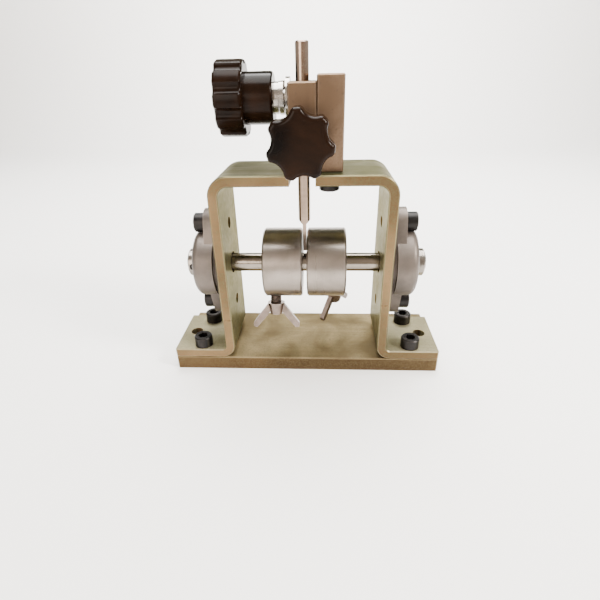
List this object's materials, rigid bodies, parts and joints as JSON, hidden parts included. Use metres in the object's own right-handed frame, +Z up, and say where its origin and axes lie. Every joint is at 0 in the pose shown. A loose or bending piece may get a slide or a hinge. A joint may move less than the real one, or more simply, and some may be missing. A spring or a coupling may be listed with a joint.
{
  "type": "bench cutting jig",
  "caption": "Bench jig that clamps a narrow cutter above a shaft in flange bearings, where sliding collars locked by wing screws set the gap for the work.",
  "frame": {"origin": "on the underside of the base, midway between the two bench holes, straight below the shaft", "axes": "+X along the shaft to the right, -Y to the front where the star knob is, +Z up along the cutter"},
  "size_m": [0.147, 0.0635, 0.161],
  "materials": {
    "base": "satin plated steel bar",
    "strap": "satin plated steel strap",
    "black_screws": "black oxide steel",
    "housings": "matte cast zinc alloy",
    "bearing_steel": "ground bearing steel",
    "cages": "pressed steel",
    "shaft": "polished steel",
    "collars": "satin turned",
    "bright_plating": "bright zinc plating",
    "tool_holder": "milled satin",
    "cutter_steel": "ground high speed steel",
    "black_knobs": "moulded black bakelite"
  },
  "bodies": {
    "frame": {"base_plate": "base", "hat_frame": "strap", "frame_screws": "black_screws", "left_bearing_housing": "housings", "right_bearing_housing": "housings", "left_bearing_screws": "black_screws", "right_bearing_screws": "black_screws", "left_outer_ring": "bearing_steel", "right_outer_ring": "bearing_steel", "left_shields": "bearing_steel", "right_shields": "bearing_steel", "tool_post": "tool_holder", "post_screw": "black_screws"},
    "shaft": {"shaft": "shaft", "left_inner_ring": "bearing_steel", "right_inner_ring": "bearing_steel", "left_set_screws": "black_screws", "right_set_screws": "black_screws"},
    "left_ball_set": {"left_balls": "bearing_steel", "left_cage": "cages"},
    "right_ball_set": {"right_balls": "bearing_steel", "right_cage": "cages"},
    "left_collar": {"left_collar": "collars"},
    "right_collar": {"right_collar": "collars"},
    "left_wing_screw": {"left_wing_screw": "bright_plating"},
    "right_wing_screw": {"right_wing_screw": "bright_plating"},
    "tool_block": {"tool_block": "tool_holder"},
    "cutter": {"cutter": "cutter_steel"},
    "star_knob": {"star_knob": "black_knobs", "star_stud": "bright_plating"},
    "clamp_knob": {"clamp_knob": "black_knobs", "clamp_stud": "bright_plating", "flat_washer": "bright_plating", "spring_washer": "bright_plating"}
  },
  "joints": [
    {"name": "shaft_spin", "type": "hinge", "parent": "frame", "child": "shaft", "pos_m": [0, 0, 0.0585], "axis": [1, 0, 0], "continuous": true},
    {"name": "left_ball_orbit", "type": "hinge", "parent": "frame", "child": "left_ball_set", "pos_m": [-0.0525, 0, 0.0585], "axis": [1, 0, 0], "continuous": true},
    {"name": "right_ball_orbit", "type": "hinge", "parent": "frame", "child": "right_ball_set", "pos_m": [0.0525, 0, 0.0585], "axis": [1, 0, 0], "continuous": true},
    {"name": "left_collar_slide", "type": "slide", "parent": "shaft", "child": "left_collar", "axis": [-1, 0, 0], "range_m": [0, 0.009]},
    {"name": "right_collar_slide", "type": "slide", "parent": "shaft", "child": "right_collar", "axis": [1, 0, 0], "range_m": [0, 0.009]},
    {"name": "left_wing_turn", "type": "hinge", "parent": "left_collar", "child": "left_wing_screw", "pos_m": [-0.0165, 0, 0.0585], "axis": [0, -0.2079, -0.9781], "continuous": true},
    {"name": "right_wing_turn", "type": "hinge", "parent": "right_collar", "child": "right_wing_screw", "pos_m": [0.0165, 0, 0.0585], "axis": [0, 0.2756, -0.9613], "continuous": true},
    {"name": "block_swivel", "type": "hinge", "parent": "frame", "child": "tool_block", "pos_m": [0, 0.0085, 0.1386], "axis": [-1, 0, 0], "range_deg": [0, 60]},
    {"name": "cutter_slide", "type": "slide", "parent": "tool_block", "child": "cutter", "axis": [0, 0, 1], "range_m": [-0.001, 0.03]},
    {"name": "star_turn", "type": "hinge", "parent": "tool_block", "child": "star_knob", "pos_m": [0, -0.02, 0.1229], "axis": [0, 1, 0], "continuous": true},
    {"name": "clamp_turn", "type": "hinge", "parent": "frame", "child": "clamp_knob", "pos_m": [-0.02, 0.0085, 0.1386], "axis": [1, 0, 0], "continuous": true}
  ],
  "couplings": [
    {"joint": "left_ball_orbit", "follows": "shaft_spin", "ratio": 0.3678},
    {"joint": "right_ball_orbit", "follows": "shaft_spin", "ratio": 0.3678}
  ]
}
